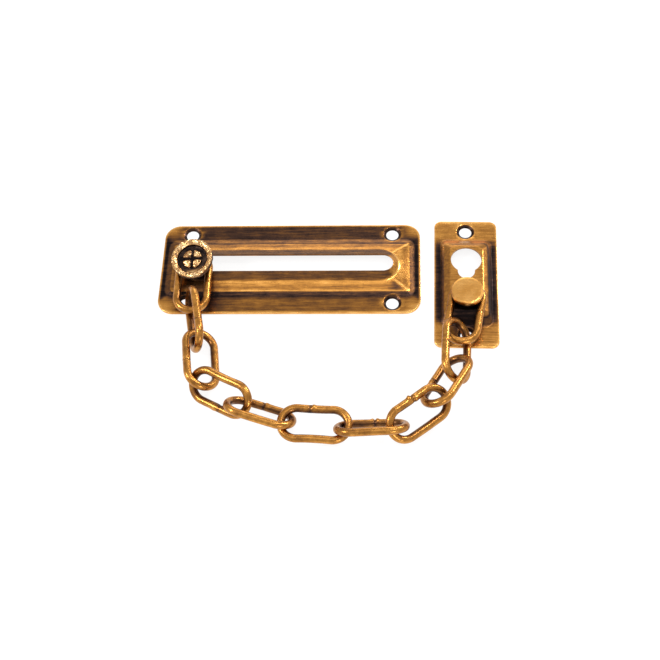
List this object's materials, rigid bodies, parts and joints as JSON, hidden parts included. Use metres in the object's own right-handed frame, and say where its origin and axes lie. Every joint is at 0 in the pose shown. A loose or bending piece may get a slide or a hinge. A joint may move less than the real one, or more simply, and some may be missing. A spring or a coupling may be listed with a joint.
{
  "type": "door chain guard",
  "caption": "Door chain guard with a slotted slide plate, a sliding button on a welded-link chain and a keyhole keeper plate with a headed stud.",
  "frame": {"origin": "centre of the slide plate's back face, which is also the centre of its four screw holes", "axes": "+X along the slot towards the keeper plate, +Y away from the slack chain, +Z out of the door face"},
  "size_m": [0.1296, 0.0991, 0.0147],
  "materials": {
    "plate_brass": "antique brass, dark in the creases",
    "button_brass": "antique brass, rubbed rim",
    "chain_brass": "antique brass wire",
    "stud_brass": "antique brass, rounded head"
  },
  "bodies": {
    "slide_plate": {"slide_plate": "plate_brass"},
    "slide_button": {"slide_button_cup": "button_brass", "slide_button_rivet": "button_brass"},
    "link_01": {"chain_link_01": "chain_brass"},
    "link_02": {"chain_link_02": "chain_brass"},
    "link_03": {"chain_link_03": "chain_brass"},
    "link_04": {"chain_link_04": "chain_brass"},
    "link_05": {"chain_link_05": "chain_brass"},
    "link_06": {"chain_link_06": "chain_brass"},
    "link_07": {"chain_link_07": "chain_brass"},
    "link_08": {"chain_link_08": "chain_brass"},
    "link_09": {"chain_link_09": "chain_brass"},
    "link_10": {"chain_link_10": "chain_brass"},
    "link_11": {"chain_link_11": "chain_brass"},
    "keeper": {"keeper_plate": "plate_brass", "keeper_stud": "stud_brass"}
  },
  "joints": [
    {"name": "button_slide", "type": "slide", "parent": "slide_plate", "child": "slide_button", "axis": [1, 0, 0], "range_m": [0, 0.07]},
    {"name": "link_01_swivel", "type": "hinge", "parent": "slide_button", "child": "link_01", "pos_m": [-0.0356, -0.0015, 0.0043], "axis": [0.1045, 0.1727, -0.9794], "range_deg": [-85, 0]},
    {"name": "link_02_swing", "type": "hinge", "parent": "link_01", "child": "link_02", "pos_m": [-0.0362, -0.0189, 0.0069], "axis": [0.1493, 0.4777, 0.8658], "range_deg": [-24, 28]},
    {"name": "link_03_swing", "type": "hinge", "parent": "link_02", "child": "link_03", "pos_m": [-0.0317, -0.0392, 0.0072], "axis": [0.4983, 0, 0.867], "range_deg": [-60, 36]},
    {"name": "link_04_swing", "type": "hinge", "parent": "link_03", "child": "link_04", "pos_m": [-0.0323, -0.052, 0.0055], "axis": [0.6118, 0.6118, 0.5015], "range_deg": [-60, 56]},
    {"name": "link_05_swing", "type": "hinge", "parent": "link_04", "child": "link_05", "pos_m": [-0.019, -0.0622, 0.007], "axis": [-0.1602, -0.7509, 0.6407], "range_deg": [-60, 60]},
    {"name": "link_06_swing", "type": "hinge", "parent": "link_05", "child": "link_06", "pos_m": [0.004, -0.0688, 0.005], "axis": [-0.1493, 0.4777, -0.8658], "range_deg": [-60, 12]},
    {"name": "link_07_swing", "type": "hinge", "parent": "link_06", "child": "link_07", "pos_m": [0.024, -0.0701, 0.005], "axis": [0, 0.867, 0.4983], "range_deg": [-60, 18]},
    {"name": "link_08_swing", "type": "hinge", "parent": "link_07", "child": "link_08", "pos_m": [0.0392, -0.074, 0.0079], "axis": [-0.4772, 0.6263, 0.6164], "range_deg": [-60, 60]},
    {"name": "link_09_swing", "type": "hinge", "parent": "link_08", "child": "link_09", "pos_m": [0.0531, -0.0636, 0.0094], "axis": [0.7714, -0.3005, 0.561], "range_deg": [-60, 40]},
    {"name": "link_10_swing", "type": "hinge", "parent": "link_09", "child": "link_10", "pos_m": [0.0641, -0.0428, 0.0052], "axis": [-0.7714, 0.3005, -0.561], "range_deg": [-60, 60]},
    {"name": "link_11_swing", "type": "hinge", "parent": "link_10", "child": "link_11", "pos_m": [0.063, -0.0284, 0.0066], "axis": [0, 0, 1], "range_deg": [-60, 4]},
    {"name": "keeper_swivel", "type": "hinge", "parent": "link_11", "child": "keeper", "pos_m": [0.06696, -0.0165, 0], "axis": [0, 0, -1], "range_deg": [-6, 38]}
  ]
}
